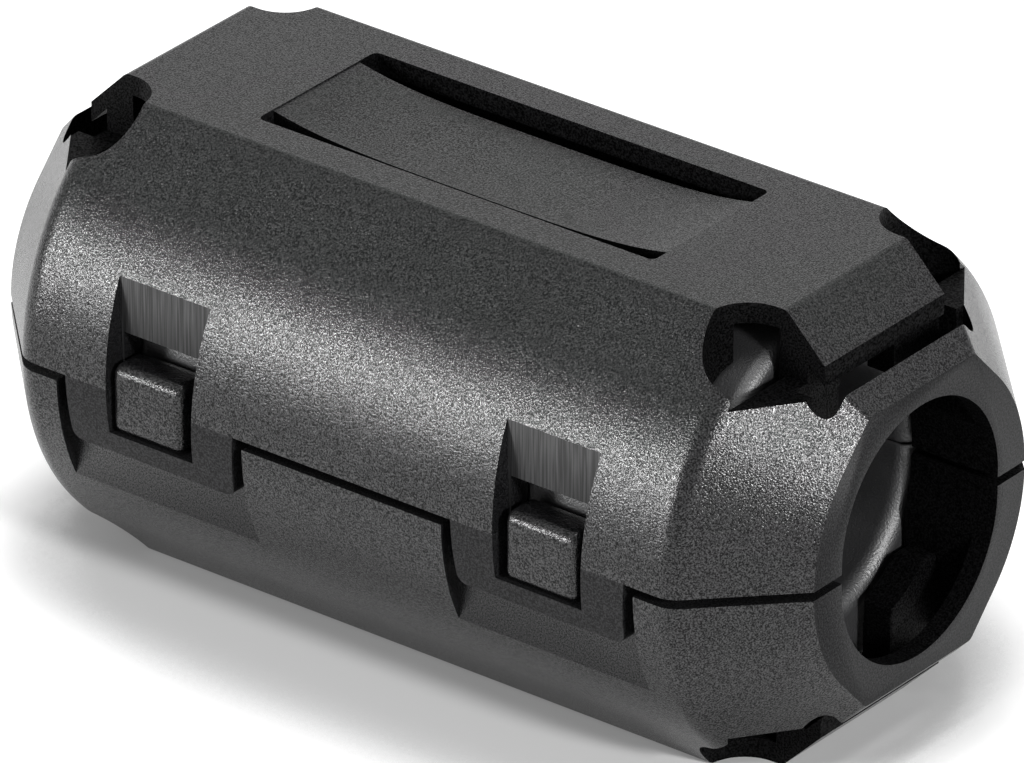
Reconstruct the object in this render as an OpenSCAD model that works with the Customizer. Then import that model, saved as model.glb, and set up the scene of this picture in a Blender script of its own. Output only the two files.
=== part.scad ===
// Clip-on ferrite bead: a hinged nylon case that snaps shut round a cable and
// presses two half cylinders of ferrite together about it.
// X runs along the cable, Z is up, the latches face -Y and the hinge +Y.
// The origin is the centre of the cable bore.

/* [Ferrite core] */
// Length of the ferrite core
core_l = 27.4; // [24:0.2:30]
// Outer radius of the ferrite core
core_r = 7.5; // [7:0.1:8]
// Radius of the cable bore through the core
bore_r = 4.5; // [3.5:0.1:5]
// Rounding of the outer end edges of the core
core_edge_r = 0.6; // [0.2:0.1:1]
// Rounding of the bore's edge at both ends of the core
bore_edge_r = 0.7; // [0.2:0.1:1]
// Air gap between the two core halves when the case is shut
core_gap = 0.04; // [0.02:0.02:0.2]

/* [Case] */
// Clearance between the core and its pocket
core_play = 0.15; // [0.1:0.05:0.3]
// Thickness of the round side walls
side_wall = 1.8; // [1.6:0.1:2.2]
// Thickness of the flat crown plate
crown_wall = 0.77; // [0.72:0.05:1.02]
// Free height between the core pocket and the crown plate
crown_room = 0.3; // [0.2:0.05:0.5]
// Half width of the flat crown
crown_hw = 4.74; // [4.6:0.02:5]
// Length of the case beyond the core pocket at each end
end_l = 3.65; // [3.5:0.05:4.5]
// Thickness of the end walls
end_wall = 0.75; // [0.6:0.05:1]
// Depth of the 45 degree taper of the sides at each end
side_taper = 3.5; // [3.2:0.05:3.6]
// Depth of the 45 degree taper of the crown at each end
crown_taper = 3.2; // [3:0.05:3.4]
// Rounding where the sides turn into the end taper
bend_r = 1.1; // [0.6:0.1:2]
// Gap between the rims of the two closed halves
rim_gap = 0.34; // [0.2:0.02:0.5]

/* [Cable mouths] */
// Radius of the mouth in each end wall
mouth_r = 4.4; // [3.5:0.1:4.6]
// Height of the mouth's centre above the parting plane
mouth_lift = 0.4; // [0:0.1:0.8]
// Half width of the chamber between core and end wall
chamber_hw = 4.05; // [3.8:0.05:4.3]
// Thickness of the posts that stop the core
stop_t = 1.2; // [0.8:0.1:1.5]
// Gap between a stop post and the core
stop_play = 0.3; // [0.2:0.05:0.5]
// Height of the post tips above the parting plane
stop_z = 3.4; // [3.2:0.1:4]
// Distance of the posts' inner sides from the middle
stop_y = 1.5; // [1:0.1:2.2]
// Rounding of the post tips
stop_r = 0.7; // [0.4:0.1:0.8]

/* [End tabs and corner holes] */
// Half width of the sloped tab at each end of the crown
tab_hw = 3.35; // [3.1:0.05:3.5]
// Radius of the corner holes
hole_r = 1.56; // [1.4:0.02:1.6]
// Depth below the crown of the ledge between a hole and the slot
ledge_depth = 2.47; // [2.3:0.05:2.6]
// Length of the ledge
ledge_l = 1.6; // [1.5:0.1:1.7]
// Distance of a corner hole's middle from the slot
hole_inset = 2; // [1.9:0.05:2.2]
// Width of the slot between tab and end wall
slot_w = 0.85; // [0.7:0.05:1]
// Half width of the slot behind a tab
slot_hw = 4.44; // [4.3:0.02:4.5]
// Depth of the slot and the holes below the crown
slot_depth = 3.5; // [3.4:0.1:3.7]

/* [Crown window] */
// Distance of the crown window from each end of the case
window_inset = 8.93; // [8.03:0.1:10.53]
// Half width of the window over the core
window_hw = 3.24; // [2.9:0.02:3.5]
// Half width of the bowed spring strip in the window
strip_hw = 2.36; // [2:0.02:2.6]
// Thickness of the spring strip
strip_t = 0.7; // [0.5:0.05:0.8]
// Gap between the middle of the strip and the core
strip_play = 0.05; // [0.02:0.01:0.1]

/* [Latches] */
// Distance of a latch's middle from its end of the case
latch_inset = 9.06; // [8.9:0.02:10]
// Offset of the far catch from the middle of its loop
far_catch_shift = -0.24; // [-0.24:0.04:0.24]
// Half width of a latch loop at the parting plane
loop_hw = 3.7; // [3.5:0.05:3.8]
// Draft of the loop's sides, over its height
loop_draft = 0.12; // [0:0.02:0.2]
// Reach of a loop below the parting plane
loop_drop = 2.3; // [2.2:0.05:2.6]
// Height of the bar that closes a loop
loop_bar = 0.8; // [0.6:0.05:0.9]
// Rounding of the loop's outer lower corners
loop_corner_r = 0.4; // [0.2:0.05:0.6]
// Clearance behind a latch loop
loop_play = 0.08; // [0.05:0.01:0.15]
// Half width of the latch window at its foot
latch_window_hw = 1.85; // [1.8:0.05:2]
// Extra half width of the latch window at its top
latch_window_draft = 0.15; // [0:0.05:0.2]
// Depth of the flat latch pad below the round side
pad_depth = 0.98; // [0.9:0.02:1]
// Half width of the flat latch pad
pad_hw = 4.1; // [4:0.05:4.3]
// Height of the port above the parting plane that the catch tongue enters
port_z = 2.06; // [1.8:0.02:2.3]
// Half width of a catch
catch_hw = 1.55; // [1.3:0.05:1.6]
// Height of a catch above the parting plane
catch_z = 1.15; // [0.8:0.05:1.4]
// How far a catch stands out from its pad
catch_out = 0.8; // [0.6:0.05:0.9]
// Gap between a catch and the bar that holds it
catch_play = 0.05; // [0.02:0.01:0.15]
// Rounding of the catch's upper edge
catch_r = 0.45; // [0.2:0.05:0.5]
// Gap between the core and the tongue that carries a catch
tongue_play = 0.25; // [0.2:0.05:0.4]

/* [Hinge straps] */
// Distance of a strap's middle from its end of the case
strap_inset = 9.06; // [8.56:0.1:11.56]
// Width of a strap
strap_w = 6; // [4:0.5:8]
// Thickness of a strap
strap_t = 0.3; // [0.2:0.05:0.3]
// Distance between the two bending lines of a strap
strap_l = 2.5; // [2.4:0.1:3]
// Clearance between the strap and the round side of the case
strap_play = 0.1; // [0.1:0.05:0.2]
// Gap at each bending line
crease_play = 0.03; // [0.02:0.01:0.05]
// Height of the pad that each strap end is moulded on
anchor_h = 1.9; // [1.5:0.1:2.5]

/* [Hidden] */

$fn = 64;
nylon = [0.12, 0.12, 0.125];
ferrite = [0.2, 0.2, 0.21];
eps = 0.01;

rim_z = rim_gap / 2;
pocket_r = core_r + core_play;
pocket_hl = core_l / 2 + core_play;
case_r = pocket_r + side_wall;
plate_z = pocket_r + crown_room;
crown_z = plate_z + crown_wall;
case_hl = pocket_hl + end_l;
clear = 2 * case_hl;

// The flank is the flat from the crown's edge down to the round side. It runs
// a hair inside the tangent, so that the two surfaces cross cleanly.
flank_dip = 0.02;
crown_edge_r = norm([crown_hw, crown_z]);
flank_a = atan2(crown_z, crown_hw) - acos((case_r - flank_dip) / crown_edge_r);

taper_x = case_hl - side_taper;
bend_x = taper_x - bend_r * tan(22.5);

end_wall_x = case_hl - end_wall;
slot_x = end_wall_x - slot_w;
hole_x = slot_x - hole_inset;
hole_y = tab_hw + hole_r;
ledge_x = slot_x - ledge_l;
ledge_z = crown_z - ledge_depth;
slot_z = crown_z - slot_depth;

window_hl = case_hl - window_inset;
latch_x = case_hl - latch_inset;
strap_x = case_hl - strap_inset;

strip_dip = crown_z - core_r - strip_play - strip_t;
strip_steps = 16;

pad_y = case_r - pad_depth;
latch_top_z = sqrt(case_r * case_r - pad_y * pad_y);
loop_window_z = loop_bar - loop_drop;
tongue_y = core_r + tongue_play;

strap_y = case_r + strap_play + strap_t / 2;
anchor_z = strap_l / 2 + strap_t / 2 + crease_play;

// Lays an outline drawn in Y and Z along X, over a length l about the middle
module along_x(l) {
    rotate([90, 0, 90])
        linear_extrude(l, center = true)
            children();
}

// Lays an outline drawn in X and Z along Y, from y0 to y1
module along_y(y0, y1) {
    translate([0, y1, 0])
        rotate([90, 0, 0])
            linear_extrude(y1 - y0)
                children();
}

// Points of an arc about c, from angle a0 to a1
function arc(c, r, a0, a1, steps = 4) =
    [for (i = [0:steps]) let (a = a0 + (a1 - a0) * i / steps) c + r * [cos(a), sin(a)]];

// Round body of the closed case: a drum with a rounded bend and a taper at each end
module drum() {
    bend = arc([case_r - bend_r, bend_x], bend_r, 0, 45, 3);
    mirrored_bend = [for (i = [len(bend) - 1:-1:0]) [bend[i].x, -bend[i].y]];
    ring_r = case_r - side_taper;
    profile = concat([[0, -case_hl], [ring_r, -case_hl]], mirrored_bend,
                     bend, [[ring_r, case_hl], [0, case_hl]]);
    rotate([0, 90, 0])
        rotate_extrude()
            polygon(profile);
}

// Everything on the case's side of one flank, with the same taper at each end
module flank_slab() {
    reach = case_r - flank_dip;
    along_y(-clear, clear)
        polygon([[-case_hl, -clear], [case_hl, -clear], [case_hl, reach - side_taper],
                 [taper_x, reach], [-taper_x, reach], [-case_hl, reach - side_taper]]);
}

// Block that carries the crown above the drum, between the two flanks
module crown_block() {
    intersection() {
        rotate([flank_a - 90, 0, 0]) flank_slab();
        rotate([90 - flank_a, 0, 0]) flank_slab();
        along_x(2 * case_hl)
            polygon([[0, 0], clear * [cos(flank_a), sin(flank_a)],
                     clear * [-cos(flank_a), sin(flank_a)]]);
    }
}

// Outer shape of one half of the case, above the parting plane
module half_outside() {
    crown_x = case_hl - crown_taper;
    intersection() {
        union() {
            drum();
            crown_block();
        }
        along_y(-clear, clear)
            polygon([[-case_hl, rim_z], [case_hl, rim_z], [case_hl, crown_z - crown_taper],
                     [crown_x, crown_z], [-crown_x, crown_z], [-case_hl, crown_z - crown_taper]]);
    }
}

// Pocket for the core, with the free space under the crown plate
module core_pocket() {
    along_x(2 * pocket_hl) {
        circle(pocket_r);
        translate([-chamber_hw, 0]) square([2 * chamber_hw, plate_z]);
    }
}

// Chamber between core and end walls, under the crown plate and the sloped tabs
module end_chambers() {
    under_x = case_hl - crown_taper;
    under_z = plate_z - (end_wall_x - under_x);
    along_y(-chamber_hw, chamber_hw)
        polygon([[-end_wall_x, 0], [end_wall_x, 0], [end_wall_x, under_z], [under_x, plate_z],
                 [-under_x, plate_z], [-end_wall_x, under_z]]);
}

// Mouths for the cable, one through each end wall
module cable_mouths() {
    translate([0, 0, mouth_lift])
        along_x(2 * case_hl + 1)
            circle(mouth_r);
}

// Posts that stop the core at both ends, hanging from the crown in the chamber's corners
module core_stops() {
    root_y = chamber_hw + eps;
    root_z = plate_z + eps;
    tip = arc([stop_y + stop_r, stop_z + stop_r], stop_r, 180, 270);
    stop_x = core_l / 2 + stop_play + stop_t / 2;
    for (end = [-1, 1], side = [-1, 1])
        translate([end * stop_x, 0, 0])
            scale([1, side, 1])
                along_x(stop_t)
                    polygon(concat([[root_y, root_z], [stop_y, root_z]], tip,
                                   [[root_y, stop_z]]));
}

// Holes at the four corners of the crown. Each opens over a ledge to the slot
// behind the tab, which ends in a quarter round.
module corner_cuts() {
    slot_end = arc([slot_x, slot_hw - slot_w], slot_w, 0, 90);
    for (end = [-1, 1], side = [-1, 1])
        scale([end, side, 1]) {
            translate([hole_x, hole_y, ledge_z])
                cylinder(r = hole_r, h = clear);
            translate([hole_x, tab_hw, ledge_z])
                cube([slot_x - hole_x + eps, 2 * hole_r, clear]);
            intersection() {
                translate([hole_x, hole_y, slot_z])
                    cylinder(r = hole_r, h = clear);
                cube([ledge_x, clear, clear]);
            }
            translate([0, 0, slot_z])
                linear_extrude(clear)
                    polygon(concat([[slot_x, -eps], [slot_x + slot_w, -eps]], slot_end));
        }
}

// Bowed strip that presses on the core through the crown window
module spring_strip() {
    root = window_hl + 0.1;
    function bow(x) = strip_dip * (1 - pow(min(abs(x) / window_hl, 1), 4));
    xs = [for (i = [-strip_steps / 2:strip_steps / 2]) 2 * i * window_hl / strip_steps];
    top = [for (x = xs) [x, crown_z - bow(x)]];
    under = [for (i = [len(xs) - 1:-1:0]) [xs[i], crown_z - strip_t - bow(xs[i])]];
    along_y(-strip_hw, strip_hw)
        polygon(concat([[-root, crown_z - strip_t], [-root, crown_z]], top,
                       [[root, crown_z], [root, crown_z - strip_t]], under));
}

// Pad at the back of a half, which the upper ends of both hinge straps are moulded on
module strap_anchors() {
    root_y = case_r - side_wall / 2;
    for (end = [-1, 1])
        translate([end * strap_x, 0, 0])
            along_x(strap_w)
                polygon([[root_y, anchor_z], [strap_y + strap_t / 2, anchor_z],
                         [strap_y + strap_t / 2, anchor_z + anchor_h / 2],
                         [root_y, anchor_z + anchor_h]]);
}

// What both halves of the case share, above the parting plane
module half_case() {
    difference() {
        union() {
            difference() {
                half_outside();
                core_pocket();
                end_chambers();
            }
            intersection() {
                half_outside();
                core_stops();
            }
        }
        cable_mouths();
        corner_cuts();
        translate([-window_hl, -window_hw, pocket_r])
            cube([2 * window_hl, 2 * window_hw, clear]);
    }
    spring_strip();
    strap_anchors();
}

// Outline of the window that a catch sits in, from height z0 to z1
module latch_window(z0, z1) {
    foot = latch_window_hw;
    top = foot + latch_window_draft;
    function hw(z) = foot + (top - foot) * (z - loop_window_z) / (latch_top_z - loop_window_z);
    polygon([[-hw(z0), z0], [hw(z0), z0], [hw(z1), z1], [-hw(z1), z1]]);
}

module upper_case() {
    color(nylon)
        difference() {
            half_case();
            for (end = [-1, 1])
                translate([end * latch_x, 0, 0]) {
                    along_y(-clear, -pad_y)
                        latch_window(loop_window_z, latch_top_z + 1);
                    along_y(-clear, -core_r + 1)
                        translate([-latch_window_hw, loop_window_z])
                            square([2 * latch_window_hw, port_z - loop_window_z]);
                }
        }
}

// Catch on the flat latch pad, on a tongue that rises into the upper half's port
module catch() {
    out_y = pad_y + catch_out;
    foot_z = loop_window_z + catch_play;
    nose = arc([-out_y + catch_r, catch_z - catch_r], catch_r, 180, 90);
    along_x(2 * catch_hw)
        polygon(concat([[-tongue_y, foot_z], [-out_y, foot_z]], nose, [[-tongue_y, catch_z]]));
}

module lower_case() {
    color(nylon) {
        difference() {
            mirror([0, 0, 1]) half_case();
            for (end = [-1, 1])
                translate([end * latch_x - pad_hw, -clear - pad_y, -case_r])
                    cube([2 * pad_hw, clear, case_r]);
        }
        translate([-latch_x + far_catch_shift, 0, 0]) catch();
        translate([latch_x, 0, 0]) catch();
    }
}

// Loop that hangs from the upper half and snaps over a catch
module latch_loop() {
    foot_hw = loop_hw - loop_draft;
    corner = arc([foot_hw - loop_corner_r, -loop_drop + loop_corner_r], loop_corner_r, -90, 0);
    mirrored_corner = [for (i = [len(corner) - 1:-1:0]) [-corner[i].x, corner[i].y]];
    color(nylon)
        intersection() {
            rotate([0, 90, 0]) cylinder(r = case_r, h = clear, center = true);
            difference() {
                along_y(-clear, -pad_y - loop_play)
                    polygon(concat([[-loop_hw, rim_z]], mirrored_corner, corner, [[loop_hw, rim_z]]));
                along_y(-clear, 0)
                    latch_window(loop_window_z, port_z);
            }
        }
}

module latch_loop_far() {
    translate([-latch_x, 0, 0]) latch_loop();
}

module latch_loop_near() {
    translate([latch_x, 0, 0]) latch_loop();
}

// Strap of the double living hinge, with a round edge at each bending line
module hinge_strap() {
    color(nylon)
        translate([0, strap_y, 0]) {
            cube([strap_w, strap_t, strap_l], center = true);
            for (side = [-1, 1])
                translate([0, 0, side * strap_l / 2])
                    rotate([0, 90, 0])
                        cylinder(r = strap_t / 2, h = strap_w, center = true);
        }
}

module hinge_strap_far() {
    translate([-strap_x, 0, 0]) hinge_strap();
}

module hinge_strap_near() {
    translate([strap_x, 0, 0]) hinge_strap();
}

// Half of the ferrite cylinder, above the parting plane
module half_core() {
    hl = core_l / 2;
    profile = concat(arc([bore_r + bore_edge_r, -hl + bore_edge_r], bore_edge_r, 180, 270),
                     arc([core_r - core_edge_r, -hl + core_edge_r], core_edge_r, -90, 0),
                     arc([core_r - core_edge_r, hl - core_edge_r], core_edge_r, 0, 90),
                     arc([bore_r + bore_edge_r, hl - bore_edge_r], bore_edge_r, 90, 180));
    color(ferrite)
        intersection() {
            rotate([0, 90, 0])
                rotate_extrude()
                    polygon(profile);
            translate([-clear, -clear, core_gap / 2])
                cube(2 * clear);
        }
}

module upper_core() {
    half_core();
}

module lower_core() {
    mirror([0, 0, 1]) half_core();
}

lower_case();
upper_case();
latch_loop_far();
latch_loop_near();
hinge_strap_far();
hinge_strap_near();
lower_core();
upper_core();
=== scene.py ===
import math

import bmesh
import bpy
from mathutils import Matrix, Vector


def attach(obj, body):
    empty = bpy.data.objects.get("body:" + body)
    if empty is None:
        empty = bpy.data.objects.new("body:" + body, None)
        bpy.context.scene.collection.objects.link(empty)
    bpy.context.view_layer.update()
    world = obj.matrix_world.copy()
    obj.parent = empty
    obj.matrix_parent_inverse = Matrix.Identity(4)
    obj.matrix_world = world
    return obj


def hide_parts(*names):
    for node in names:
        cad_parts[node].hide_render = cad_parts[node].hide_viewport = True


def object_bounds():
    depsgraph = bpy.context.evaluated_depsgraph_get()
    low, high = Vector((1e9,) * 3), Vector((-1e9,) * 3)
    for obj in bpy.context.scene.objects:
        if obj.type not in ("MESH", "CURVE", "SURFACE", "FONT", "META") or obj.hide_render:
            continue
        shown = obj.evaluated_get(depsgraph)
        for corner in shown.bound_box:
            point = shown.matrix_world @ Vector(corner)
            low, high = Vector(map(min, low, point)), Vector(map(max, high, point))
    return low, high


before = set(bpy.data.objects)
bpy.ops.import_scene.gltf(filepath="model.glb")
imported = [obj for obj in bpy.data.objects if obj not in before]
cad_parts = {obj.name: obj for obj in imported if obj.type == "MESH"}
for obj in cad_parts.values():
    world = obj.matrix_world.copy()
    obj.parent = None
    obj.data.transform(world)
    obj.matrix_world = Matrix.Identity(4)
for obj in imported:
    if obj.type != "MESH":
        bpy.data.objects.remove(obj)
size_at_load = [list(corner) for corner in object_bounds()]

# Camera: a long lens half a metre away, above the latch side and turned
# towards one cable mouth.
camera_azimuth = math.radians(38.143)
camera_elevation = math.radians(27.902)
camera_distance = 0.5
aim = Vector((0.0, -0.00002, -0.00003))
towards_camera = Vector((math.sin(camera_azimuth) * math.cos(camera_elevation),
                         -math.cos(camera_azimuth) * math.cos(camera_elevation),
                         math.sin(camera_elevation)))
camera_data = bpy.data.cameras.new("bench_camera")
camera_data.lens = 511.0
camera_data.sensor_width = 36.0
camera_data.clip_start = 0.05
camera_data.clip_end = 20.0
camera = bpy.data.objects.new("bench_camera", camera_data)
bpy.context.scene.collection.objects.link(camera)
camera.location = aim + camera_distance * towards_camera
camera.rotation_euler = towards_camera.to_track_quat("Z", "Y").to_euler()
bpy.context.scene.camera = camera
bpy.context.scene.view_settings.view_transform = "Standard"


# Studio: softboxes round a pale sheet of card. The card and the room beyond it are white to the
# eye, and the card keeps the part's shadow, with a painted shadow in its glow under and around the
# part.
def softbox(name, direction, distance, width, height, watts):
    data = bpy.data.lights.new(name, "AREA")
    data.shape = "RECTANGLE"
    data.size = width
    data.size_y = height
    data.energy = watts
    lamp = bpy.data.objects.new(name, data)
    bpy.context.scene.collection.objects.link(lamp)
    lamp.location = distance * Vector(direction).normalized()
    lamp.rotation_euler = Vector(direction).to_track_quat("Z", "Y").to_euler()
    return lamp


softbox("latch_side_softbox", (-0.54, -0.80, 0.25), 0.5, 0.10, 0.13, 2.1)
softbox("overhead_softbox", (0.1, 0.1, 1.0), 0.5, 0.15, 0.15, 0.6)
softbox("mouth_side_softbox", (0.875, -0.235, 0.42), 0.5, 0.06, 0.06, 2.2)

# 1 for what the eye sees, straight or through a mirror or glass, and 0 for the rest
def seen_or_mirrored(nodes, links):
    path = nodes.new("ShaderNodeLightPath")
    either = nodes.new("ShaderNodeMath")
    either.operation = "MAXIMUM"
    links.new(path.outputs["Is Camera Ray"], either.inputs[0])
    links.new(path.outputs["Is Glossy Ray"], either.inputs[1])
    every = nodes.new("ShaderNodeMath")
    every.operation = "MAXIMUM"
    links.new(either.outputs[0], every.inputs[0])
    links.new(path.outputs["Is Transmission Ray"], every.inputs[1])
    return every.outputs[0]


room = bpy.data.worlds.new("room")
bpy.context.scene.world = room
room.use_nodes = True
room_nodes = room.node_tree.nodes
room_links = room.node_tree.links
room_light = room_nodes["Background"]
room_light.inputs["Color"].default_value = (0.8, 0.8, 0.8, 1)
room_light.inputs["Strength"].default_value = 0.25
white_room = room_nodes.new("ShaderNodeBackground")
white_room.inputs["Color"].default_value = (1, 1, 1, 1)
white_room.inputs["Strength"].default_value = 1.0
pick = room_nodes.new("ShaderNodeMixShader")
room_links.new(seen_or_mirrored(room_nodes, room_links), pick.inputs[0])
room_links.new(room_light.outputs[0], pick.inputs[1])
room_links.new(white_room.outputs[0], pick.inputs[2])
room_links.new(pick.outputs[0], room_nodes["World Output"].inputs["Surface"])

card_half = 3.0
card_mesh = bpy.data.meshes.new("card")
card_mesh.from_pydata([(-card_half, -card_half, 0), (card_half, -card_half, 0),
                       (card_half, card_half, 0), (-card_half, card_half, 0)], [], [(0, 1, 2, 3)])
card = bpy.data.objects.new("card", card_mesh)
bpy.context.scene.collection.objects.link(card)
card.location.z = size_at_load[0][2] - 0.00001
paper = bpy.data.materials.new("paper")
paper.use_nodes = True
paper_nodes = paper.node_tree.nodes
paper_links = paper.node_tree.links
paper_nodes["Principled BSDF"].inputs["Base Color"].default_value = (0.7, 0.7, 0.7, 1)
paper_nodes["Principled BSDF"].inputs["Roughness"].default_value = 0.9
paper_glow = paper_nodes.new("ShaderNodeEmission")
paper_glow.inputs["Color"].default_value = (1, 1, 1, 1)
# The card's glow fades where the part closes it in: a painted shadow under and around the part.
paper_open = paper_nodes.new("ShaderNodeAmbientOcclusion")
paper_open.inputs["Distance"].default_value = 0.012
paper_level = paper_nodes.new("ShaderNodeMapRange")
paper_level.inputs["From Min"].default_value = 0.55
paper_level.inputs["From Max"].default_value = 0.8
paper_level.inputs["To Max"].default_value = 0.8
paper_links.new(paper_open.outputs["AO"], paper_level.inputs["Value"])
paper_share = paper_nodes.new("ShaderNodeMath")
paper_share.operation = "MULTIPLY"
paper_links.new(seen_or_mirrored(paper_nodes, paper_links), paper_share.inputs[0])
paper_links.new(paper_level.outputs[0], paper_share.inputs[1])
paper_links.new(paper_share.outputs[0], paper_glow.inputs["Strength"])
paper_sum = paper_nodes.new("ShaderNodeAddShader")
paper_links.new(paper_nodes["Principled BSDF"].outputs[0], paper_sum.inputs[0])
paper_links.new(paper_glow.outputs[0], paper_sum.inputs[1])
paper_links.new(paper_sum.outputs[0], paper_nodes["Material Output"].inputs["Surface"])
card_mesh.materials.append(paper)


# Ferrite core: two half rings of grey manganese-zinc ferrite, pressed, sintered and
# tumbled. Their mating faces are lapped flat, and they lie loose in the case.
core_half_length = 13.7
core_radius = 7.5
bore_radius = 4.5
core_edge = 0.6
bore_edge = 0.7
lapped_gap = 0.02
lapped_edge = 0.08
ferrite_grey = (0.022, 0.022, 0.023)


def arc(centre, radius, start, end, steps):
    points = []
    for step in range(steps + 1):
        turn = math.radians(start + (end - start) * step / steps)
        points.append((centre[0] + radius * math.cos(turn), centre[1] + radius * math.sin(turn)))
    return points


def place(name, shape):
    mesh = bpy.data.meshes.new(name)
    bmesh.ops.recalc_face_normals(shape, faces=shape.faces)
    shape.to_mesh(mesh)
    shape.free()
    piece = bpy.data.objects.new(name, mesh)
    bpy.context.scene.collection.objects.link(piece)
    return piece


def apply_modifiers(piece):
    bpy.context.view_layer.update()
    view = bpy.context.evaluated_depsgraph_get()
    shaped = bpy.data.meshes.new_from_object(piece.evaluated_get(view))
    old = piece.data
    piece.modifiers.clear()
    piece.data = shaped
    bpy.data.meshes.remove(old)


# Rounds every edge that turns by more than an angle, apart from those that keep() holds back
def break_edges(piece, width, over, keep=None, segments=2):
    shape = bmesh.new()
    shape.from_mesh(piece.data)
    bmesh.ops.remove_doubles(shape, verts=shape.verts, dist=0.004)
    bmesh.ops.dissolve_degenerate(shape, edges=shape.edges, dist=0.004)
    bmesh.ops.dissolve_limit(shape, verts=shape.verts, edges=shape.edges,
                             angle_limit=math.radians(0.3))
    weight = shape.edges.layers.float.new("bevel_weight_edge")
    for edge in shape.edges:
        middle = (edge.verts[0].co + edge.verts[1].co) / 2
        if edge.is_manifold and edge.calc_face_angle() > math.radians(over):
            if keep is None or not keep(middle):
                edge[weight] = 1.0
    shape.to_mesh(piece.data)
    shape.free()
    bevel = piece.modifiers.new("broken_edges", "BEVEL")
    bevel.limit_method = "WEIGHT"
    bevel.width = width
    bevel.segments = segments
    bevel.use_clamp_overlap = False
    bevel.miter_outer = "MITER_ARC"
    apply_modifiers(piece)


def smooth(piece, under):
    piece.data.shade_smooth()
    piece.data.set_sharp_from_angle(angle=math.radians(under))
    weighted = piece.modifiers.new("flat_faces", "WEIGHTED_NORMAL")
    weighted.keep_sharp = True
    weighted.mode = "FACE_AREA_WITH_ANGLE"
    apply_modifiers(piece)


def to_metres(piece):
    piece.data.transform(Matrix.Scale(0.001, 4))


def coat(piece, finish):
    piece.data.materials.clear()
    piece.data.materials.append(finish)


def sintered_ferrite(name, grey):
    finish = bpy.data.materials.new(name)
    finish.use_nodes = True
    nodes = finish.node_tree.nodes
    links = finish.node_tree.links
    skin = nodes["Principled BSDF"]
    skin.inputs["IOR"].default_value = 1.8
    place_in = nodes.new("ShaderNodeTexCoord")
    grains = nodes.new("ShaderNodeTexNoise")
    grains.inputs["Scale"].default_value = 12000
    grains.inputs["Detail"].default_value = 3
    links.new(place_in.outputs["Object"], grains.inputs["Vector"])
    patches = nodes.new("ShaderNodeTexNoise")
    patches.inputs["Scale"].default_value = 700
    patches.inputs["Detail"].default_value = 4
    links.new(place_in.outputs["Object"], patches.inputs["Vector"])
    tone = nodes.new("ShaderNodeMix")
    tone.data_type = "RGBA"
    tone.inputs["A"].default_value = (*[c * 0.75 for c in grey], 1)
    tone.inputs["B"].default_value = (*[c * 1.35 for c in grey], 1)
    links.new(patches.outputs["Fac"], tone.inputs["Factor"])
    links.new(tone.outputs["Result"], skin.inputs["Base Color"])
    polish = nodes.new("ShaderNodeMapRange")
    polish.inputs["To Min"].default_value = 0.34
    polish.inputs["To Max"].default_value = 0.54
    links.new(patches.outputs["Fac"], polish.inputs["Value"])
    links.new(polish.outputs["Result"], skin.inputs["Roughness"])
    relief = nodes.new("ShaderNodeBump")
    relief.inputs["Strength"].default_value = 1.0
    relief.inputs["Distance"].default_value = 0.00002
    links.new(grains.outputs["Fac"], relief.inputs["Height"])
    links.new(relief.outputs["Normal"], skin.inputs["Normal"])
    return finish


ferrite = sintered_ferrite("sintered_ferrite", ferrite_grey)


def half_ring(name, side):
    section = arc((bore_radius + bore_edge, -core_half_length + bore_edge), bore_edge, 180, 270, 6)
    section += arc((core_radius - core_edge, -core_half_length + core_edge), core_edge, -90, 0, 6)
    section += arc((core_radius - core_edge, core_half_length - core_edge), core_edge, 0, 90, 6)
    section += arc((bore_radius + bore_edge, core_half_length - bore_edge), bore_edge, 90, 180, 6)
    shape = bmesh.new()
    steps = 60
    rows = []
    for step in range(steps + 1):
        turn = math.pi * step / steps
        row = []
        for r, x in section:
            z = side * (r * math.sin(turn) + lapped_gap)
            row.append(shape.verts.new((x, r * math.cos(turn), z)))
        rows.append(row)
    for row, following in zip(rows, rows[1:]):
        for i in range(len(section)):
            j = (i + 1) % len(section)
            shape.faces.new((row[i], row[j], following[j], following[i]))
    shape.faces.new(rows[0])
    shape.faces.new(rows[-1])
    ring = place(name, shape)
    break_edges(ring, lapped_edge, 55)
    smooth(ring, 50)
    to_metres(ring)
    coat(ring, ferrite)
    return ring


lower_ring = half_ring("lower_ferrite_ring", -1)
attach(lower_ring, "base")
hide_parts("lower_core")
upper_ring = half_ring("upper_ferrite_ring", 1)
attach(upper_ring, "lid")
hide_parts("upper_core")


# Lower half of the case: black nylon, moulded in one shot with the other half, the
# straps and the loops. Flat pads with catches on its latch side hold the loops.
case_half_length = 17.5
case_radius = 9.45
rim = 0.17
crown = 8.72
flank_angle = 43.3
side_taper = 3.5
bend_centre = (13.544, 8.35)
bend_radius = 1.1
crown_bend_centre = (14.134, 8.32)
crown_bend_radius = 0.4
crown_edge_radius = 0.35
far_out = 40.0
nylon_black = (0.005, 0.005, 0.0053)
# The inside's colour, darker than the nylon's: painted shade for the deep inside of the case.
inner_painted_shade_black = (0.002, 0.002, 0.0021)


# Radius of the round side at a distance x from the middle
def side_radius(x):
    start, height = bend_centre
    if x <= start:
        return case_radius
    if x < start + bend_radius * math.sin(math.radians(45)):
        return height + math.sqrt(bend_radius ** 2 - (x - start) ** 2)
    return case_radius - side_taper + case_half_length - x


# Height of the crown at a distance x from the middle
def crown_height(x):
    start, height = crown_bend_centre
    if x <= start:
        return crown
    if x < start + crown_bend_radius * math.sin(math.radians(45)):
        return height + math.sqrt(crown_bend_radius ** 2 - (x - start) ** 2)
    reach = crown_bend_radius * math.sin(math.radians(45))
    return height + reach - (x - start - reach)


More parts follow.
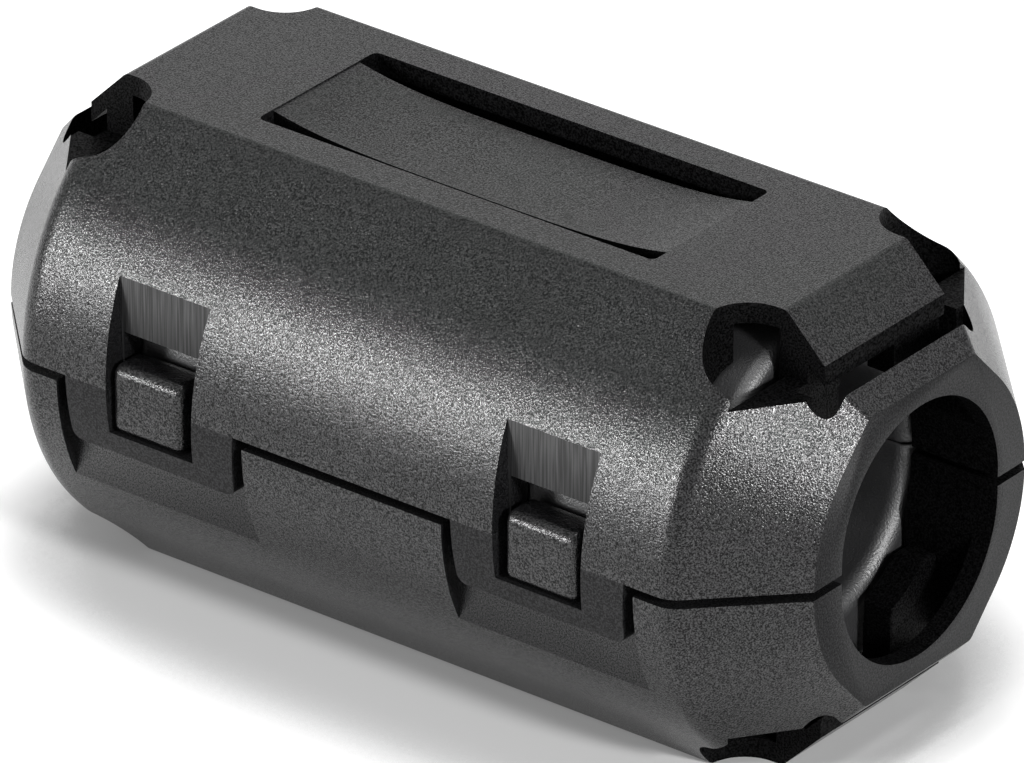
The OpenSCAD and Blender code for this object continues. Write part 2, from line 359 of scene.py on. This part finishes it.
# Points of a lens-shaped half section: round side, flank, soft crown edge, flat crown
def case_section(x):
    radius = side_radius(x)
    height = crown_height(x)
    lean = math.radians(flank_angle)
    soft = crown_edge_radius
    soft_z = height - soft
    soft_y = (radius - soft - soft_z * math.sin(lean)) / math.cos(lean)
    first = math.degrees(math.asin(rim / radius))
    points = arc((0, 0), radius, first, flank_angle, 14)
    points += arc((soft_y, soft_z), soft, flank_angle, 90, 5)
    return points + [(-y, z) for y, z in reversed(points)]


def half_case_skin(name):
    along = [0, 3.5, 7, 10.5, 12.5]
    along += [bend_centre[0] + bend_radius * math.sin(math.radians(9 * i)) for i in range(6)]
    along += [crown_bend_centre[0] + crown_bend_radius * math.sin(math.radians(15 * i))
              for i in range(4)]
    along += [15.2, 16.1, 16.8, case_half_length]
    along = sorted(along)
    along = [-x for x in reversed(along[1:])] + along
    shape = bmesh.new()
    rows = [[shape.verts.new((x, y, z)) for y, z in case_section(abs(x))] for x in along]
    for row, following in zip(rows, rows[1:]):
        for i in range(len(row)):
            j = (i + 1) % len(row)
            shape.faces.new((row[i], row[j], following[j], following[i]))
    shape.faces.new(rows[0])
    shape.faces.new(rows[-1])
    return place(name, shape)


# A block with a given outline across one axis
def block(outline, axis, start, end):
    shape = bmesh.new()
    ends = []
    for along in (start, end):
        ring = []
        for a, b in outline:
            place_at = {"x": (along, a, b), "y": (a, along, b), "z": (a, b, along)}[axis]
            ring.append(shape.verts.new(place_at))
        ends.append(ring)
    for i in range(len(outline)):
        j = (i + 1) % len(outline)
        shape.faces.new((ends[0][i], ends[0][j], ends[1][j], ends[1][i]))
    shape.faces.new(ends[0])
    shape.faces.new(ends[1])
    return place("tool", shape)


def combine(piece, tool, how):
    step = piece.modifiers.new("step", "BOOLEAN")
    step.operation = how
    step.solver = "MANIFOLD"
    step.object = tool
    apply_modifiers(piece)
    mesh = tool.data
    bpy.data.objects.remove(tool)
    bpy.data.meshes.remove(mesh)


def cut(piece, tool):
    combine(piece, tool, "DIFFERENCE")


def weld(piece, tool):
    combine(piece, tool, "UNION")


pocket_radius = 7.65
pocket_half_length = 13.85
chamber_half_width = 4.05
end_wall_inside = 16.75
plate_under = 7.95
under_bend = 14.3
mouth_radius = 4.4
mouth_lift = 0.4
post_near = 14.0
post_far = 15.2
post_inner = 1.5
post_outer = 4.6
post_tip = 3.4
post_root = 7.2
post_top = 8.2
root_foot = 5.4
root_inset = 0.02
post_round = 0.7
post_edge = 0.15
tab_half_width = 3.35
hole_radius = 1.56
hole_middle = 13.9
ledge = 6.25
ledge_start = 14.3
ledge_outside = 6.8
slot_inside = 15.9
slot_outside = 16.75
slot_floor = 5.22
slot_half_width = 4.44
window_half_length = 8.57
window_half_width = 3.24
window_corner = 0.25
window_floor = 7.0
strip_half_width = 2.36
strip_thickness = 0.7
strip_dip = 0.47
strip_sunk = 0.06
strip_root = 0.3
latch_middle = 8.44
strap_middle = 8.44
strap_half_width = 3.0
anchor_foot = 1.43
anchor_face = 9.85
anchor_back = 8.8
anchor_shoulder = 2.38
anchor_top = 3.13


def rounded_rectangle(x0, x1, y0, y1, corner, steps=4):
    return (arc((x1 - corner, y0 + corner), corner, -90, 0, steps)
            + arc((x1 - corner, y1 - corner), corner, 0, 90, steps)
            + arc((x0 + corner, y1 - corner), corner, 90, 180, steps)
            + arc((x0 + corner, y0 + corner), corner, 180, 270, steps))


def half_case(name):
    half = half_case_skin(name)
    cut(half, block(arc((0, 0), pocket_radius, -20, 200, 88), "x",
                    -pocket_half_length, pocket_half_length))
    low = plate_under - (end_wall_inside - under_bend)
    cut(half, block([(-end_wall_inside, -1), (end_wall_inside, -1), (end_wall_inside, low),
                     (under_bend, plate_under), (-under_bend, plate_under),
                     (-end_wall_inside, low)], "y", -chamber_half_width, chamber_half_width))
    for end in (-1, 1):
        for side in (-1, 1):
            outline = [(side * post_outer, post_root), (side * post_inner, post_root)]
            tip = arc((post_inner + post_round, post_tip + post_round), post_round, 180, 270, 6)
            outline += [(side * y, z) for y, z in tip] + [(side * post_outer, post_tip)]
            post = block(outline, "x", end * post_near, end * post_far)
            break_edges(post, post_edge, 50)
            weld(half, post)
            near, far = post_near + root_inset, post_far - root_inset
            root = block([(end * near, root_foot), (end * far, root_foot),
                          (end * far, post_root), (end * near, post_top)], "y",
                         side * (post_inner + root_inset), side * (post_outer - root_inset))
            weld(half, root)
    cut(half, block(arc((0, mouth_lift), mouth_radius, 0, 357.5, 143), "x", -far_out, far_out))
    across = math.degrees(math.acos((ledge_start - hole_middle) / hole_radius))
    well = arc((hole_middle, tab_half_width + hole_radius), hole_radius, across, 360 - across, 32)
    step = [(slot_inside + 0.02, tab_half_width), (hole_middle, tab_half_width),
            (hole_middle, tab_half_width + 0.5), (ledge_start - 0.01, tab_half_width + 0.5),
            (ledge_start - 0.01, ledge_outside), (slot_inside + 0.02, ledge_outside)]
    slot_width = slot_outside - slot_inside
    slot_turn = slot_half_width - slot_width
    slot = (arc((slot_inside, -slot_turn), slot_width, -90, 0, 10)
            + arc((slot_inside, slot_turn), slot_width, 0, 90, 10))
    for end in (-1, 1):
        for side in (-1, 1):
            cut(half, block([(end * x, side * y) for x, y in well], "z", slot_floor, far_out))
            cut(half, block([(end * x, side * y) for x, y in step], "z", ledge, far_out))
        cut(half, block([(end * x, y) for x, y in slot], "z", slot_floor - 0.003, far_out))
    cut(half, block(rounded_rectangle(-window_half_length, window_half_length, -window_half_width,
                                      window_half_width, window_corner), "z", window_floor,
                    far_out))
    steps = 24
    bows = [(x, strip_dip * (1 - abs(x / window_half_length) ** 4)) for x in
            [window_half_length * (2 * i / steps - 1) for i in range(steps + 1)]]
    reach = window_half_length + strip_root
    top = [(x, crown - strip_sunk - bow) for x, bow in bows]
    under = [(x, z - strip_thickness + strip_sunk) for x, z in reversed(top)]
    strip = block([(-reach, top[0][1])] + top + [(reach, top[0][1]), (reach, under[0][1])]
                  + under + [(-reach, under[0][1])], "y", -strip_half_width, strip_half_width)
    weld(half, strip)
    for end in (-1, 1):
        anchor = block([(anchor_back, anchor_foot), (anchor_face, anchor_foot),
                        (anchor_face, anchor_shoulder), (anchor_back, anchor_top)], "x",
                       end * strap_middle - strap_half_width,
                       end * strap_middle + strap_half_width)
        weld(half, anchor)
    return half


pad_face = 8.47
pad_half_width = 4.1
pad_low = -9.6
pad_high = 1
catch_half_width = 1.55
catch_face = 9.27
catch_top = 1.15
catch_foot = -1.45
catch_round = 0.45
catch_edge = 0.32
tongue_back = 7.75
far_catch_shift = -0.24
moulded_edge = 0.07

lower_half = half_case("lower_half_case")
lower_half.data.transform(Matrix.Scale(-1, 4, (0, 0, 1)))
lower_half.data.flip_normals()
for end in (-1, 1):
    cut(lower_half, block([(end * latch_middle - pad_half_width, -far_out),
                           (end * latch_middle + pad_half_width, -far_out),
                           (end * latch_middle + pad_half_width, -pad_face),
                           (end * latch_middle - pad_half_width, -pad_face)], "z", pad_low,
                          pad_high))
    middle = end * latch_middle + (far_catch_shift if end < 0 else 0)
    nose = arc((-catch_face + catch_round, catch_top - catch_round), catch_round, 180, 90, 6)
    catch = block([(-tongue_back, catch_foot), (-catch_face, catch_foot)] + nose
                  + [(-tongue_back, catch_top)], "x", middle - catch_half_width,
                  middle + catch_half_width)
    break_edges(catch, catch_edge, 50, segments=4)
    weld(lower_half, catch)
break_edges(lower_half, moulded_edge, 38)


# Black nylon: the grain's peaks gleam and its pits don't. A squash below 1 draws the
# grain out along z.
def moulded_nylon(name, colour, rough, grain, height, gleams, squash=1.0):
    finish = bpy.data.materials.new(name)
    finish.use_nodes = True
    nodes = finish.node_tree.nodes
    links = finish.node_tree.links
    skin = nodes["Principled BSDF"]
    place_in = nodes.new("ShaderNodeTexCoord")
    spark = nodes.new("ShaderNodeTexNoise")
    spark.inputs["Scale"].default_value = grain
    spark.inputs["Detail"].default_value = 1
    spark.inputs["Roughness"].default_value = 0.6
    drawn_out = nodes.new("ShaderNodeMapping")
    drawn_out.inputs["Scale"].default_value = (1, 1, squash)
    links.new(place_in.outputs["Object"], drawn_out.inputs["Vector"])
    links.new(drawn_out.outputs["Vector"], spark.inputs["Vector"])
    flow = nodes.new("ShaderNodeTexNoise")
    flow.inputs["Scale"].default_value = 180
    flow.inputs["Detail"].default_value = 3
    links.new(place_in.outputs["Object"], flow.inputs["Vector"])
    peaks = nodes.new("ShaderNodeMapRange")
    peaks.inputs["From Min"].default_value = 0.38
    peaks.inputs["From Max"].default_value = 0.68
    links.new(spark.outputs["Fac"], peaks.inputs["Value"])
    # Colour lighter on the grain's peaks and darker in its pits: grain tone, strengthened with a
    # painted glint on the peaks and painted shade in the pits.
    tone = nodes.new("ShaderNodeMix")
    tone.data_type = "RGBA"
    tone.inputs["A"].default_value = (*[c * 0.4 for c in colour], 1)
    tone.inputs["B"].default_value = (*[c * 3 for c in colour], 1)
    links.new(peaks.outputs["Result"], tone.inputs["Factor"])
    links.new(tone.outputs["Result"], skin.inputs["Base Color"])
    gleam = nodes.new("ShaderNodeMapRange")
    gleam.inputs["To Min"].default_value = gleams[0]
    gleam.inputs["To Max"].default_value = gleams[1]
    links.new(peaks.outputs["Result"], gleam.inputs["Value"])
    links.new(gleam.outputs["Result"], skin.inputs["Specular IOR Level"])
    polish = nodes.new("ShaderNodeMapRange")
    polish.inputs["To Min"].default_value = rough - 0.06
    polish.inputs["To Max"].default_value = rough + 0.06
    links.new(flow.outputs["Fac"], polish.inputs["Value"])
    links.new(polish.outputs["Result"], skin.inputs["Roughness"])
    relief = nodes.new("ShaderNodeBump")
    relief.inputs["Strength"].default_value = 1.0
    relief.inputs["Distance"].default_value = height
    links.new(spark.outputs["Fac"], relief.inputs["Height"])
    links.new(relief.outputs["Normal"], skin.inputs["Normal"])
    return finish


sparked_nylon = moulded_nylon("sparked_nylon", nylon_black, 0.24, 17000, 0.000016, (0.12, 0.68))
plain_nylon = moulded_nylon("plain_nylon", nylon_black, 0.48, 14000, 0.000003, (0.12, 0.22))
drawn_nylon = moulded_nylon("drawn_nylon", nylon_black, 0.6, 13000, 0.000006, (0.3, 0.5), 0.03)
# Nylon for the deep inside: its darker colour and weaker gleam are painted shade.
inner_painted_shade_nylon = moulded_nylon("inner_painted_shade_nylon", inner_painted_shade_black, 0.45, 14000, 0.000002, (0.01, 0.06))


# Direction that the outer skin faces at a point, and how far off it the point lies
def skin_at(x, y, z):
    radius = side_radius(abs(x))
    height = crown_height(abs(x))
    lean = math.radians(flank_angle)
    soft_z = height - crown_edge_radius
    soft_y = (radius - crown_edge_radius - soft_z * math.sin(lean)) / math.cos(lean)
    side_turn = math.asin(min(max(abs(x) - bend_centre[0], 0) / bend_radius, math.sqrt(0.5)))
    crown_turn = math.asin(min(max(abs(x) - crown_bend_centre[0], 0) / crown_bend_radius,
                               math.sqrt(0.5)))
    if z <= abs(y) * math.tan(lean):
        turn, up, off = side_turn, math.atan2(z, abs(y)), math.hypot(y, z) - radius
    elif abs(y) < soft_y:
        turn, up, off = crown_turn, math.pi / 2, z - height
    else:
        up = math.atan2(z - soft_z, abs(y) - soft_y)
        if up > lean:
            share = (up - lean) / (math.pi / 2 - lean)
            turn = side_turn + (crown_turn - side_turn) * share
            off = math.hypot(abs(y) - soft_y, z - soft_z) - crown_edge_radius
        else:
            turn, up = side_turn, lean
            off = abs(y) * math.cos(lean) + z * math.sin(lean) - radius
    facing = Vector((math.copysign(math.sin(turn), x),
                     math.copysign(math.cos(turn), y) * math.cos(up),
                     math.cos(turn) * math.sin(up)))
    return facing, off


# Makes the outer skin shade as the true curve, across the joins of its facets
def true_skin(half, side):
    mesh = half.data
    facings = [corner.vector.copy() for corner in mesh.corner_normals]
    for face in mesh.polygons:
        for corner in face.loop_indices:
            x, y, z = mesh.vertices[mesh.loops[corner].vertex_index].co
            facing, off = skin_at(x, y, z * side)
            facing.z *= side
            if abs(off) < 0.007 and facing.dot(face.normal) > 0.64:
                facings[corner] = facing
    mesh.normals_split_custom_set(facings)


inside_depth = 0.15
latch_walls_from = 7.7


# The outer skin is spark-textured, the end faces are plain, and the walls behind the
# latch windows carry the marks of the slides that drew them. The inside is the same
# nylon, coloured darker here to stand for its deep shade.
def finish_faces(half, side):
    half.data.materials.clear()
    half.data.materials.append(sparked_nylon)
    half.data.materials.append(plain_nylon)
    half.data.materials.append(drawn_nylon)
    half.data.materials.append(inner_painted_shade_nylon)
    for face in half.data.polygons:
        x, y, z = face.center
        z *= side
        sunk = -skin_at(x, y, z)[1]
        on_strip = max(abs(x) - window_half_length, abs(y) - strip_half_width) < 0.01
        drawn_wall = side > 0 and face.normal.y < -0.99 and abs(y + pad_face) < 0.05 and z > 1
        inside = sunk > inside_depth and y > -latch_walls_from
        if abs(face.normal.x) > 0.9 and abs(x) > end_wall_inside:
            face.material_index = 1
        elif drawn_wall:
            face.material_index = 2
        # Faces deep inside take the nylon with painted shade.
        elif inside and not (on_strip and z > crown - strip_thickness):
            face.material_index = 3


finish_faces(lower_half, -1)
smooth(lower_half, 50)
true_skin(lower_half, -1)
to_metres(lower_half)
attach(lower_half, "base")
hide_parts("lower_case")


# Upper half of the case: the same shell turned over, with a window above each
# catch. Its wall runs straight on into the latch loops.
latch_window_top = 4.19
latch_window_foot = -1.5
latch_window_half_width = 1.85
latch_window_draft = 0.15
latch_window_run_out = 0.8
port_top = 2.06
port_back = 6.5
port_half_width = latch_window_half_width - 0.01
loop_half_width = 3.7


def latch_window(middle, low, high):
    def half_width(z):
        rise = (z - latch_window_foot) / (latch_window_top - latch_window_foot)
        return latch_window_half_width + latch_window_draft * rise
    return [(middle - half_width(low), low), (middle + half_width(low), low),
            (middle + half_width(high), high), (middle - half_width(high), high)]


upper_half = half_case("upper_half_case")
for end in (-1, 1):
    middle = end * latch_middle
    cut(upper_half, block(latch_window(middle, latch_window_foot,
                                       latch_window_top + latch_window_run_out), "y",
                          -far_out, -pad_face))
    cut(upper_half, block([(middle - port_half_width, -1), (middle + port_half_width, -1),
                           (middle + port_half_width, port_top),
                           (middle - port_half_width, port_top)], "y", -far_out, -port_back))


def loop_seam(point):
    beside = min(abs(point.x - latch_middle), abs(point.x + latch_middle))
    return point.z < rim + 0.01 and point.y < -8.4 and beside < loop_half_width + 0.05


break_edges(upper_half, moulded_edge, 38, loop_seam)
finish_faces(upper_half, 1)
smooth(upper_half, 50)
true_skin(upper_half, 1)
to_metres(upper_half)
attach(upper_half, "lid")
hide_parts("upper_case")


# Latch loops: thin springy U-shaped tongues of the upper half, left smooth by the
# tool. Each hangs over a pad of the lower half and snaps behind its catch.
loop_back = 8.55
loop_foot = -2.3
loop_foot_half_width = 3.58
loop_corner = 0.4
loop_edge = 0.06


def latch_loop(name, middle, body, node):
    outline = [(middle - loop_half_width, rim)]
    outline += arc((middle - loop_foot_half_width + loop_corner, loop_foot + loop_corner),
                   loop_corner, 180, 270, 6)
    outline += arc((middle + loop_foot_half_width - loop_corner, loop_foot + loop_corner),
                   loop_corner, 270, 360, 6)
    outline += [(middle + loop_half_width, rim)]
    loop = block(outline, "y", -far_out, -loop_back)
    cut(loop, block(latch_window(middle, latch_window_foot, 2), "y", -2 * far_out, 0))
    combine(loop, block(arc((0, 0), case_radius, 150, 240, 90) + [(0, 0)], "x",
                        -far_out, far_out), "INTERSECT")
    break_edges(loop, loop_edge, 38, loop_seam)
    loop.name = name
    smooth(loop, 50)
    to_metres(loop)
    coat(loop, plain_nylon)
    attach(loop, body)
    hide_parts(node)
    return loop


latch_loop("far_loop", -latch_middle, "latch_far", "latch_loop_far")
latch_loop("near_loop", latch_middle, "latch_near", "latch_loop_near")


# Hinge straps: two thin bands of the same nylon behind the case. They bend at
# both ends, so that the halves fold flat open and shut again.
strap_face = 9.7
strap_thickness = 0.3
strap_half_length = 1.25
strap_edge = 0.05


def hinge_strap(name, middle, node):
    half_thick = strap_thickness / 2
    outline = (arc((strap_face, strap_half_length), half_thick, 0, 180, 10)
               + arc((strap_face, -strap_half_length), half_thick, 180, 360, 10))
    strap = block(outline, "x", middle - strap_half_width, middle + strap_half_width)
    break_edges(strap, strap_edge, 60)
    strap.name = name
    smooth(strap, 50)
    to_metres(strap)
    coat(strap, plain_nylon)
    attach(strap, "straps")
    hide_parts(node)
    return strap


hinge_strap("far_strap", -strap_middle, "hinge_strap_far")
hinge_strap("near_strap", strap_middle, "hinge_strap_near")
